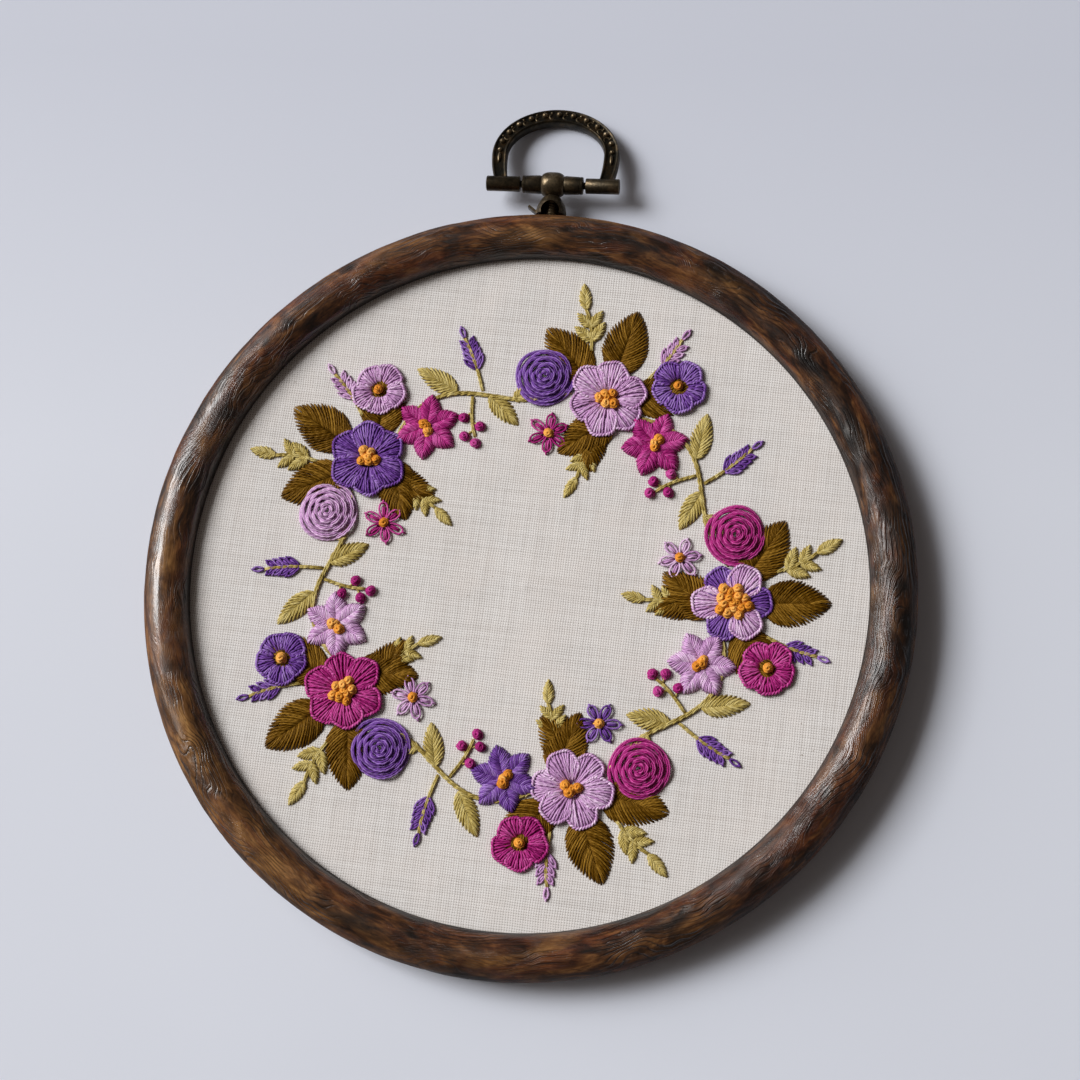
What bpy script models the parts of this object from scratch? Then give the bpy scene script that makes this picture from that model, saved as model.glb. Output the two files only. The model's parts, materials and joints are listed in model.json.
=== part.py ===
"""Embroidered cloth stretched in a round display hoop, with a beaded bail to hang it by.

The hoop lies on its back: +Z is the front, +Y points to the bail, and the origin is
the middle of the whole object's footprint. Every size below is in metres.
"""

import math

import bmesh
import bpy
from mathutils import Matrix

MM = 0.001

# Gap between pieces that touch on the real object
GAP = 0.3 * MM

# Outer ring: a rounded front on a straight-sided back, rebated for cloth and inner ring
RING_OUTER_R = 68.5 * MM
RING_SIGHT_R = 60.2 * MM
RING_TOP_Z = 9.4 * MM
RING_SPRING_Z = 5.6 * MM
RING_BACK_ROUND = 2.2 * MM
REBATE_CHAMFER = 0.4 * MM

# Cloth: one drum skin, its edge turned down between the rings
CLOTH_THICK = 1.0 * MM
CLOTH_FRONT_Z = 5.0 * MM
CLOTH_OUTER_R = 62.5 * MM
CLOTH_TRIM_Z = 0.6 * MM
CLOTH_FOLD_R = 0.8 * MM

# Inner ring: a plain rigid band just inside the turned-down cloth
INNER_RING_WIDTH = 2.6 * MM
INNER_RING_EDGE = 0.3 * MM

# Hanger: ball, barrels and screw on one radial line, with the bar across it
BAR_R = 74.8 * MM
BAR_Z = 4.7 * MM
BALL_R = 2.35 * MM
POST_BARREL_R = 1.6 * MM
POST_BARREL_REACH = 5.6 * MM
PIN_R = 0.65 * MM
BORE_R = PIN_R + GAP
SCREW_R = 1.0 * MM
SCREW_TIP_R = 64.6 * MM

# Cup washer between the ball and the ring
CUP_R = 2.85 * MM
CUP_WALL = 0.5 * MM
CUP_TOP_R = 72.45 * MM
CUP_SHOULDER = 62
CUP_NOTCH_WIDTH = 3.4 * MM
CUP_NOTCH_HEIGHT = 2.2 * MM
TAB_LENGTH = 2.0 * MM
TAB_WIDTH = 1.6 * MM
TAB_THICK = 0.45 * MM
TAB_LIFT = math.radians(38)

# Bail: a flat arched band with raised beads, on two end barrels
BAIL_HEIGHT = 16.2 * MM
BAIL_BAND = 2.8 * MM
BAIL_THICK = 2.2 * MM
BAIL_EDGE = 0.4 * MM
BAIL_HALF_WIDTH = 11.8 * MM
BAIL_SPRING_Y = 6.2 * MM
LEG_X = 9.7 * MM
LEG_WIDTH = 2.44 * MM
LEG_FOOT_Y = 0.7 * MM
BAIL_BARREL_R = 1.4 * MM
BAIL_BARREL_START = POST_BARREL_REACH + 0.45 * MM
BAIL_BARREL_END = 12.3 * MM
BAIL_BARREL_CAP = 1.0 * MM
BEAD_R = 0.48 * MM
BEAD_COUNT = 11
BEAD_SWEEP = math.radians(146)
LONG_BEAD_LENGTH = 1.9 * MM
LONG_BEAD_WIDTH = 0.8 * MM

# The arch's outer edge rests on the surface, so the bail droops from the bar by this angle
DROOP_RADIUS = math.hypot(BAIL_HEIGHT - BAIL_EDGE, BAIL_THICK / 2)
BAIL_DROOP = math.asin(BAR_Z / DROOP_RADIUS) - math.atan2(BAIL_THICK / 2, BAIL_HEIGHT - BAIL_EDGE)

# The hoop's centre, set back so that the origin is the middle of the footprint
BAIL_REACH = BAR_R + BAIL_HEIGHT * math.cos(BAIL_DROOP)
HOOP_Y = -(BAIL_REACH - RING_OUTER_R) / 2
BAR_Y = HOOP_Y + BAR_R

# Facets round the hoop and round the small turned pieces
HOOP_STEPS = 96
SMALL_STEPS = 24
ARCH_STEPS = 28


def clear_scene():
    """Remove whatever the file opened with."""
    for old in list(bpy.data.objects):
        bpy.data.objects.remove(old, do_unlink=True)


def new_collection(name):
    collection = bpy.data.collections.new(name)
    bpy.context.scene.collection.children.link(collection)
    return collection


def linear(red, green, blue):
    """Linear colour with alpha from 8-bit screen values."""
    channels = []
    for value in (red, green, blue):
        share = value / 255
        channels.append(share / 12.92 if share <= 0.04045 else ((share + 0.055) / 1.055) ** 2.4)
    return (*channels, 1.0)


def make_material(name, colour, roughness, metallic=0.0):
    material = bpy.data.materials.new(name)
    material.use_nodes = True
    shader = material.node_tree.nodes["Principled BSDF"]
    shader.inputs["Base Color"].default_value = colour
    shader.inputs["Roughness"].default_value = roughness
    shader.inputs["Metallic"].default_value = metallic
    return material


def add_object(name, data, collection, parent=None):
    item = bpy.data.objects.new(name, data)
    collection.objects.link(item)
    item.parent = parent
    return item


def shade_round(mesh):
    mesh.shade_smooth()
    mesh.set_sharp_from_angle(angle=math.radians(35))


def mesh_from_bmesh(name, bm):
    mesh = bpy.data.meshes.new(name)
    bm.to_mesh(mesh)
    bm.free()
    return mesh


def add_guide(name, mesh, parent=None):
    """Put a tool shape for a Boolean among the cutters."""
    guide = add_object(name, mesh, CUTTERS, parent)
    guide.hide_render = True
    guide.display_type = "WIRE"
    return guide


def boolean(item, tool, operation):
    modifier = item.modifiers.new(tool.name, "BOOLEAN")
    modifier.operation = operation
    modifier.solver = "EXACT"
    modifier.object = tool


def turned(name, profile, steps, collection, closed, parent=None):
    """A profile of (radius, height) points turned about Z, run down its outer side."""
    bm = bmesh.new()
    verts = [bm.verts.new((radius, 0, height)) for radius, height in profile]
    for first, second in zip(verts, verts[1:]):
        bm.edges.new((first, second))
    if closed:
        bm.edges.new((verts[-1], verts[0]))
    item = add_object(name, mesh_from_bmesh(name, bm), collection, parent)
    screw = item.modifiers.new("turn", "SCREW")
    screw.steps = steps
    screw.render_steps = steps
    screw.use_merge_vertices = True
    screw.merge_threshold = 0.00001
    screw.use_smooth_shade = True
    return item


def cylinder_mesh(name, radius, low_x, high_x, steps=SMALL_STEPS):
    """A capped cylinder along X."""
    bm = bmesh.new()
    middle = Matrix.Translation(((low_x + high_x) / 2, 0, 0))
    bmesh.ops.create_cone(
        bm,
        cap_ends=True,
        segments=steps,
        radius1=radius,
        radius2=radius,
        depth=high_x - low_x,
        matrix=middle @ Matrix.Rotation(math.pi / 2, 4, "Y"),
    )
    mesh = mesh_from_bmesh(name, bm)
    shade_round(mesh)
    return mesh


def sphere_mesh(name, radius, steps, rings):
    bm = bmesh.new()
    bmesh.ops.create_uvsphere(bm, u_segments=steps, v_segments=rings, radius=radius)
    mesh = mesh_from_bmesh(name, bm)
    shade_round(mesh)
    return mesh


def arc(centre, radii, start, end, count):
    """Points on an ellipse from one angle to another, in degrees, both ends included."""
    points = []
    for index in range(count):
        angle = math.radians(start + (end - start) * index / (count - 1))
        points.append((centre[0] + radii[0] * math.cos(angle), centre[1] + radii[1] * math.sin(angle)))
    return points


def outer_ring_profile():
    half_width = (RING_OUTER_R - RING_SIGHT_R) / 2
    lip_z = CLOTH_FRONT_Z + GAP
    wall_r = CLOTH_OUTER_R + GAP
    front = arc(
        (RING_SIGHT_R + half_width, RING_SPRING_Z),
        (half_width, RING_TOP_Z - RING_SPRING_Z),
        180,
        0,
        17,
    )
    back = arc(
        (RING_OUTER_R - RING_BACK_ROUND, RING_BACK_ROUND),
        (RING_BACK_ROUND, RING_BACK_ROUND),
        0,
        -90,
        5,
    )
    rebate = [(wall_r + REBATE_CHAMFER, 0), (wall_r, REBATE_CHAMFER), (wall_r, lip_z)]
    return front + back + rebate + [(RING_SIGHT_R + GAP / 2, lip_z)]


def cloth_profile():
    fold = arc(
        (CLOTH_OUTER_R - CLOTH_FOLD_R, CLOTH_FRONT_Z - CLOTH_FOLD_R),
        (CLOTH_FOLD_R, CLOTH_FOLD_R),
        90,
        0,
        4,
    )
    skirt_r = CLOTH_OUTER_R - CLOTH_THICK
    back_z = CLOTH_FRONT_Z - CLOTH_THICK
    skirt = [(CLOTH_OUTER_R, CLOTH_TRIM_Z), (skirt_r, CLOTH_TRIM_Z), (skirt_r, back_z)]
    return [(0, CLOTH_FRONT_Z)] + fold + skirt + [(0, back_z)]


def inner_ring_profile():
    high_r = CLOTH_OUTER_R - CLOTH_THICK - GAP
    low_r = high_r - INNER_RING_WIDTH
    top_z = CLOTH_FRONT_Z - CLOTH_THICK - GAP
    edge = INNER_RING_EDGE
    return [
        (low_r + edge, top_z),
        (high_r - edge, top_z),
        (high_r, top_z - edge),
        (high_r, edge),
        (high_r - edge, 0),
        (low_r + edge, 0),
        (low_r, edge),
        (low_r, top_z - edge),
    ]


def make_hoop_piece(name, profile, material, closed):
    piece = turned(name, profile, HOOP_STEPS, PARTS, closed)
    piece.location = (0, HOOP_Y, 0)
    piece.data.materials.append(material)
    return piece


def make_outer_ring(material):
    ring = make_hoop_piece("outer_ring", outer_ring_profile(), material, True)
    hole = add_guide("screw_hole", cylinder_mesh("screw_hole", SCREW_R + GAP, SCREW_TIP_R - GAP, BAR_R))
    hole.location = (0, HOOP_Y, BAR_Z)
    hole.rotation_euler = (0, 0, math.pi / 2)
    boolean(ring, hole, "DIFFERENCE")


def make_hanger_post(material, bar):
    post = add_object("hanger_post", sphere_mesh("hanger_post", BALL_R, SMALL_STEPS, 16), PARTS, bar)
    post.data.materials.append(material)
    barrel_mesh = cylinder_mesh("post_barrels", POST_BARREL_R, -POST_BARREL_REACH, POST_BARREL_REACH)
    boolean(post, add_guide("post_barrels", barrel_mesh, bar), "UNION")
    screw_mesh = cylinder_mesh("post_screw", SCREW_R, SCREW_TIP_R - BAR_R, -BALL_R / 2)
    screw = add_guide("post_screw", screw_mesh, bar)
    screw.rotation_euler = (0, 0, math.pi / 2)
    boolean(post, screw, "UNION")
    bore_mesh = cylinder_mesh("post_bore", BORE_R, -BAIL_BARREL_END, BAIL_BARREL_END)
    boolean(post, add_guide("post_bore", bore_mesh, bar), "DIFFERENCE")


def make_hinge_pin(material, bar):
    reach = BAIL_BARREL_END - BAIL_BARREL_CAP - GAP
    pin = add_object("hinge_pin", cylinder_mesh("hinge_pin", PIN_R, -reach, reach, 16), PARTS, bar)
    pin.data.materials.append(material)


def cup_profile(height):
    """A dome open towards the ring, with a hole at the top for the screw."""
    hole_r = SCREW_R + GAP
    full_height = height / math.sin(math.radians(CUP_SHOULDER))
    outside = arc((0, 0), (CUP_R, full_height), CUP_SHOULDER, 0, 7)
    inner_r = CUP_R - CUP_WALL
    inner_height = full_height - CUP_WALL
    inside = arc((0, 0), (inner_r, inner_height), 0, math.degrees(math.acos(hole_r / inner_r)), 6)
    return [(hole_r, outside[0][1])] + outside + inside


def make_cup_washer(material, bar):
    foot_r = RING_OUTER_R + GAP
    height = CUP_TOP_R - foot_r
    cup = turned("cup_washer", cup_profile(height), SMALL_STEPS, PARTS, True, bar)
    cup.location = (0, foot_r - BAR_R, 0)
    cup.rotation_euler = (-math.pi / 2, 0, 0)
    cup.data.materials.append(material)
    notch_mesh = cylinder_mesh("cup_notch", CUP_NOTCH_WIDTH / 2, 0, 2 * CUP_R)
    notch = add_guide("cup_notch", notch_mesh, bar)
    notch.location = (0, foot_r - BAR_R + CUP_NOTCH_HEIGHT - CUP_NOTCH_WIDTH / 2, 0)
    notch.rotation_euler = (0, -math.pi / 2, 0)
    boolean(cup, notch, "DIFFERENCE")
    bm = bmesh.new()
    sizes = Matrix.Diagonal((TAB_LENGTH, TAB_THICK, TAB_WIDTH, 1))
    bmesh.ops.create_cube(bm, size=1, matrix=sizes)
    tab = add_guide("cup_tab", mesh_from_bmesh("cup_tab", bm), bar)
    tab.location = (-CUP_R - TAB_LENGTH / 2 + CUP_WALL, foot_r - BAR_R + TAB_LENGTH / 2, 0)
    tab.rotation_euler = (0, 0, -TAB_LIFT)
    boolean(cup, tab, "UNION")


def band_edge(half_width, height, foot_x):
    """One edge of the arched band, from the right foot over the top to the left foot."""
    leg = []
    for index in range(4):
        share = index / 4
        x = half_width - (half_width - foot_x) * (1 - share) ** 2
        leg.append((x, LEG_FOOT_Y + (BAIL_SPRING_Y - LEG_FOOT_Y) * share))
    arch = arc((0, BAIL_SPRING_Y), (half_width, height - BAIL_SPRING_Y), 0, 180, ARCH_STEPS)
    return leg + arch + [(-x, y) for x, y in reversed(leg)]


def bail_band_mesh():
    """The flat band with rounded edges, from its outline."""
    outer = band_edge(BAIL_HALF_WIDTH, BAIL_HEIGHT, LEG_X + LEG_WIDTH / 2)
    inner = band_edge(BAIL_HALF_WIDTH - BAIL_BAND, BAIL_HEIGHT - BAIL_BAND, LEG_X - LEG_WIDTH / 2)
    outline = outer + inner[::-1]
    curve = bpy.data.curves.new("bail_outline", "CURVE")
    curve.dimensions = "2D"
    curve.fill_mode = "BOTH"
    curve.bevel_depth = BAIL_EDGE
    curve.bevel_resolution = 1
    curve.offset = -BAIL_EDGE
    curve.extrude = BAIL_THICK / 2 - BAIL_EDGE
    spline = curve.splines.new("POLY")
    spline.points.add(len(outline) - 1)
    for point, (x, y) in zip(spline.points, outline):
        point.co = (x, y, 0, 1)
    spline.use_cyclic_u = True
    guide = add_object("bail_outline", curve, CUTTERS)
    bpy.context.view_layer.update()
    evaluated = guide.evaluated_get(bpy.context.evaluated_depsgraph_get())
    mesh = bpy.data.meshes.new_from_object(evaluated)
    bpy.data.objects.remove(guide, do_unlink=True)
    bm = bmesh.new()
    bm.from_mesh(mesh)
    bmesh.ops.remove_doubles(bm, verts=bm.verts, dist=0.000002)
    bmesh.ops.recalc_face_normals(bm, faces=bm.faces)
    bm.to_mesh(mesh)
    bm.free()
    mesh.name = "bail"
    return mesh


def add_beads(bail):
    """Round beads along the arch, and one long bead at the foot of each side."""
    mid_x = BAIL_HALF_WIDTH - BAIL_BAND / 2
    mid_y = BAIL_HEIGHT - BAIL_BAND / 2 - BAIL_SPRING_Y
    bead_mesh = sphere_mesh("bead", BEAD_R, 10, 6)
    for index in range(BEAD_COUNT):
        angle = math.pi / 2 + BEAD_SWEEP * (index / (BEAD_COUNT - 1) - 0.5)
        bead = add_guide(f"bead_{index + 1}", bead_mesh, bail)
        bead.location = (mid_x * math.cos(angle), BAIL_SPRING_Y + mid_y * math.sin(angle), BAIL_THICK / 2)
        boolean(bail, bead, "UNION")
    for side in (-1, 1):
        bead = add_guide(f"long_bead_{side}", bead_mesh, bail)
        bead.location = (side * mid_x, BAIL_SPRING_Y - LONG_BEAD_LENGTH / 2, BAIL_THICK / 2)
        width = LONG_BEAD_WIDTH / (2 * BEAD_R)
        bead.scale = (width, LONG_BEAD_LENGTH / (2 * BEAD_R), width)
        boolean(bail, bead, "UNION")


def make_bail(material, bar):
    bail = add_object("bail", bail_band_mesh(), PARTS, bar)
    bail.rotation_euler = (-BAIL_DROOP, 0, 0)
    bail.data.materials.append(material)
    shade_round(bail.data)
    for side in (-1, 1):
        low_x, high_x = sorted((side * BAIL_BARREL_START, side * BAIL_BARREL_END))
        mesh = cylinder_mesh("bail_barrel", BAIL_BARREL_R, low_x, high_x)
        boolean(bail, add_guide(f"bail_barrel_{side}", mesh, bail), "UNION")
    add_beads(bail)
    bore_reach = BAIL_BARREL_END - BAIL_BARREL_CAP
    bore_mesh = cylinder_mesh("bail_bore", BORE_R, -bore_reach, bore_reach)
    boolean(bail, add_guide("bail_bore", bore_mesh, bail), "DIFFERENCE")


def build():
    vinyl = make_material("wood_grain_vinyl", linear(80, 54, 38), 0.34)
    calico = make_material("calico", linear(222, 215, 207), 0.9)
    plastic = make_material("inner_ring_plastic", linear(46, 35, 28), 0.5)
    brass = make_material("antique_brass", linear(74, 62, 44), 0.42, 0.85)
    make_outer_ring(vinyl)
    make_hoop_piece("cloth", cloth_profile(), calico, False)
    make_hoop_piece("inner_ring", inner_ring_profile(), plastic, True)
    bar = add_object("bar_centre", None, PARTS)
    bar.location = (0, BAR_Y, BAR_Z)
    make_hanger_post(brass, bar)
    make_hinge_pin(brass, bar)
    make_cup_washer(brass, bar)
    make_bail(brass, bar)


clear_scene()
PARTS = new_collection("embroidered_hoop")
CUTTERS = new_collection("cutters")
build()
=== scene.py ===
"""Looks of the display hoop: grained ring, woven calico, thread by thread sewing and brass hanger."""

import json
import math

import bmesh
import bpy
import numpy as np
from mathutils import Matrix, Vector


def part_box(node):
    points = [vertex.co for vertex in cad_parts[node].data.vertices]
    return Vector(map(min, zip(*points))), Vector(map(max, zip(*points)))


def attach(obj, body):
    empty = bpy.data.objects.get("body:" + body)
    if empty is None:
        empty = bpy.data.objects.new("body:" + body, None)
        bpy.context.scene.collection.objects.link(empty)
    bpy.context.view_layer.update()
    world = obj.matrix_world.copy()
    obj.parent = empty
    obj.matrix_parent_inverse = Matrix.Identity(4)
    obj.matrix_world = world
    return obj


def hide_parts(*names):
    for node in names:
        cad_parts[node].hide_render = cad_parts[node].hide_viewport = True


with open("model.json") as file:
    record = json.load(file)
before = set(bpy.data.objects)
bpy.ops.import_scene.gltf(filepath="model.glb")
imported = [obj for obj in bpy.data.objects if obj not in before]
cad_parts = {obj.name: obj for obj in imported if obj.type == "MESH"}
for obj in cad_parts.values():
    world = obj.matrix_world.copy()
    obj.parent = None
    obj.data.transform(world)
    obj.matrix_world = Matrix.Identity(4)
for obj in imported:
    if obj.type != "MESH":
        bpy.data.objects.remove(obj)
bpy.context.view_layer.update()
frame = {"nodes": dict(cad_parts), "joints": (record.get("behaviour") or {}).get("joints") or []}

MM = 0.001
UP = np.array([0.0, 0.0, 1.0])

# The hoop's own sizes, from the frame
RING_LOW, RING_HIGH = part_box("outer_ring")
HOOP = Vector(((RING_LOW.x + RING_HIGH.x) / 2, (RING_LOW.y + RING_HIGH.y) / 2, 0))
RING_OUTER_R = (RING_HIGH.x - RING_LOW.x) / 2
RING_TOP_Z = RING_HIGH.z
CLOTH_LOW, CLOTH_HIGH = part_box("cloth")
CLOTH_OUTER_R = (CLOTH_HIGH.x - CLOTH_LOW.x) / 2
CLOTH_FRONT_Z = CLOTH_HIGH.z
CLOTH_TRIM_Z = CLOTH_LOW.z
BAR = Vector(frame["joints"][0]["pos_m"])

# The ring's section, as the solid has it
RING_SIGHT_R = 60.2 * MM
RING_SPRING_Z = 5.6 * MM
RING_BACK_ROUND = 2.2 * MM
REBATE_CHAMFER = 0.4 * MM
GAP = 0.3 * MM

# The hanger's sizes in millimetres from the bar; only the ball is squarer than its solid
BALL_R = 2.35
BALL_REACH = 2.4
POST_BARREL_R = 1.6
POST_REACH = 5.6
BORE_R = 0.95
SCREW_R = 1.0
SCREW_TIP = 10.2
BAIL_HEIGHT = 16.2
BAIL_BAND = 2.8
BAIL_HALF_WIDTH = 11.8
BAIL_SPRING_Y = 6.2
LEG_X = 9.7
LEG_WIDTH = 2.44
LEG_FOOT_Y = 0.7
BAIL_BARREL_R = 1.4
BAIL_BARREL_START = 6.05
BAIL_BARREL_END = 12.3
BAIL_BORE_END = 11.3
BAIL_DROOP = math.radians(13.28)

# The real calico is thinner than its solid
CALICO_THICK = 0.4 * MM
WEAVE_PITCH = 0.44 * MM
GROOVE_PITCH = 0.86 * MM

# A strand's radius in millimetres, and the length in which its two plies turn once
STRAND_R = 0.2
PLY_PITCH = 1.1 * MM

# Threads travel behind the cloth between stitches that are this far apart
TRAVEL_LEAST = 2.2 * MM
TRAVEL_MOST = 8 * MM

# The photograph's hoop is turned this far clockwise from its own upright
HOOP_TURN = math.radians(3.9)

# The camera, in millimetres about the hoop's centre as the picture lies
CAMERA_EYE = (35.1, -57.8, 343.4)
CAMERA_TARGET = (2.24, 9.13, 0)
CAMERA_LENS = 65.1


def rgb(red, green, blue):
    """Linear colour with alpha from 8-bit screen values."""
    share = np.array([red, green, blue]) / 255
    line = np.where(share <= 0.04045, share / 12.92, ((share + 0.055) / 1.055) ** 2.4)
    return (*line.tolist(), 1.0)


def smooth_noise(u, v, cells_u, cells_v, seed):
    """Noise from -1 to 1 that repeats after 1 in u and in v."""
    lattice = np.random.default_rng(seed).uniform(-1, 1, (cells_u, cells_v))
    x, y = u * cells_u, v * cells_v
    i, j = np.floor(x).astype(int), np.floor(y).astype(int)
    fx, fy = x - i, y - j
    fx, fy = fx * fx * (3 - 2 * fx), fy * fy * (3 - 2 * fy)
    i0, i1, j0, j1 = i % cells_u, (i + 1) % cells_u, j % cells_v, (j + 1) % cells_v
    low = lattice[i0, j0] * (1 - fx) + lattice[i1, j0] * fx
    high = lattice[i0, j1] * (1 - fx) + lattice[i1, j1] * fx
    return low * (1 - fy) + high * fy


# Meshes from arrays


def add_object(name, data):
    item = bpy.data.objects.new(name, data)
    bpy.context.scene.collection.objects.link(item)
    return item


def add_mesh(name, verts, faces, material, attributes=()):
    """An object from points and polygons; attributes are (name, kind, values) for each point."""
    mesh = bpy.data.meshes.new(name)
    sizes = np.concatenate([np.full(len(group), group.shape[1]) for group in faces])
    corners = np.concatenate([group.ravel() for group in faces])
    mesh.vertices.add(len(verts))
    mesh.vertices.foreach_set("co", np.asarray(verts, np.float32).ravel())
    mesh.loops.add(len(corners))
    mesh.loops.foreach_set("vertex_index", corners.astype(np.int32))
    mesh.polygons.add(len(sizes))
    starts = np.concatenate([[0], np.cumsum(sizes)[:-1]])
    mesh.polygons.foreach_set("loop_start", starts.astype(np.int32))
    mesh.update(calc_edges=True)
    mesh.validate()
    for label, kind, values in attributes:
        layer = mesh.attributes.new(label, kind, "POINT")
        key = "vector" if kind == "FLOAT_VECTOR" else "value"
        layer.data.foreach_set(key, np.asarray(values, np.float32).ravel())
    mesh.shade_smooth()
    mesh.materials.append(material)
    return add_object(name, mesh)


def grid_quads(rows, columns, wrap_rows=False, wrap_columns=False):
    """Quads over a grid of points numbered row by row."""
    row = np.arange(rows if wrap_rows else rows - 1)
    column = np.arange(columns if wrap_columns else columns - 1)
    row, column = np.meshgrid(row, column, indexing="ij")
    next_row, next_column = (row + 1) % rows, (column + 1) % columns
    corners = [
        row * columns + column,
        next_row * columns + column,
        next_row * columns + next_column,
        row * columns + next_column,
    ]
    return np.stack([corner.ravel() for corner in corners], 1)


def tube_faces(rows, sides):
    """Faces of a tube whose points are numbered ring by ring, capped at both ends."""
    around = np.arange(sides)
    return [grid_quads(rows, sides, False, True), around[None], (rows - 1) * sides + around[None, ::-1]]


def arc(centre, radii, start, end, count):
    """Points on an ellipse from one angle to another, in degrees, both ends included."""
    angle = np.radians(np.linspace(start, end, count))
    return np.stack([centre[0] + radii[0] * np.cos(angle), centre[1] + radii[1] * np.sin(angle)], 1)


def line(first, last, count):
    """Points from first to last, with neither end included."""
    share = np.linspace(0, 1, count + 2)[1:-1, None]
    return np.array(first) * (1 - share) + np.array(last) * share


def turned_verts(profile, steps, radius_shift, height_shift):
    """Points of a (radius, height) profile turned about the hoop's axis, one row for each step."""
    angle = np.linspace(0, 2 * math.pi, steps, endpoint=False)[:, None]
    radius = profile[None, :, 0] + radius_shift
    height = profile[None, :, 1] + height_shift + 0 * angle
    verts = np.stack([radius * np.cos(angle) + HOOP.x, radius * np.sin(angle) + HOOP.y, height], -1)
    return verts.reshape(-1, 3)


class Shape:
    """Closed parts gathered into one mesh, each with its share of rubbed-bright wear."""

    def __init__(self):
        self.verts, self.faces, self.wear, self.count = [], [], [], 0

    def add(self, verts, faces, wear):
        """Add a part, its faces turned outwards whichever way they came."""
        volume = 0.0
        for group in faces:
            corner = verts[group]
            for index in range(1, group.shape[1] - 1):
                volume += (corner[:, 0] * np.cross(corner[:, index], corner[:, index + 1])).sum()
        for group in faces:
            self.faces.append((group if volume > 0 else group[:, ::-1]) + self.count)
        self.verts.append(verts)
        self.wear.append(np.broadcast_to(wear, len(verts)))
        self.count += len(verts)

    def finish(self, name, material, place):
        """The mesh, moved from millimetres about the bar into the frame."""
        verts = np.concatenate(self.verts) * MM
        turn, shift = np.array(place.to_3x3()), np.array(place.to_translation())
        wear = [("wear", "FLOAT", np.concatenate(self.wear))]
        item = add_mesh(name, verts @ turn.T + shift, self.faces, material, wear)
        item.data.set_sharp_from_angle(angle=math.radians(42))
        return item


def lathe(profile, steps, closed=False):
    """A profile of (along X, radius) points turned about X, capped at both ends unless it is closed."""
    profile = np.asarray(profile, float)
    phi = 2 * math.pi * np.arange(steps) / steps
    ring = np.stack([0 * phi, np.cos(phi), np.sin(phi)], 1)
    verts = profile[:, None, 1:2] * ring[None]
    verts[..., 0] += profile[:, None, 0]
    rows = len(profile)
    faces = [grid_quads(rows, steps, True, True)] if closed else tube_faces(rows, steps)
    return verts.reshape(-1, 3), faces


def blob(centre, radii):
    """A small ellipsoid."""
    tilt = np.radians(np.linspace(6, 174, 10))
    verts, faces = lathe(np.stack([-np.cos(tilt), np.sin(tilt)], 1), 14)
    return verts * np.array(radii) + np.array(centre), faces


def rod(path, radius):
    """A round rod along a path that lies flat, thinner at its ends."""
    sides = 7
    tangent = np.gradient(path, axis=0)
    tangent /= np.linalg.norm(tangent, axis=1, keepdims=True)
    side = np.cross(tangent, UP)
    phi = 2 * math.pi * np.arange(sides) / sides
    swell = radius * np.sin(np.linspace(0.5, math.pi - 0.5, len(path)))[:, None, None]
    ring = side[:, None, :] * np.cos(phi)[:, None] + UP * np.sin(phi)[:, None]
    verts = (path[:, None, :] + swell * ring).reshape(-1, 3)
    return verts, tube_faces(len(path), sides)


# Materials


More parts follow.
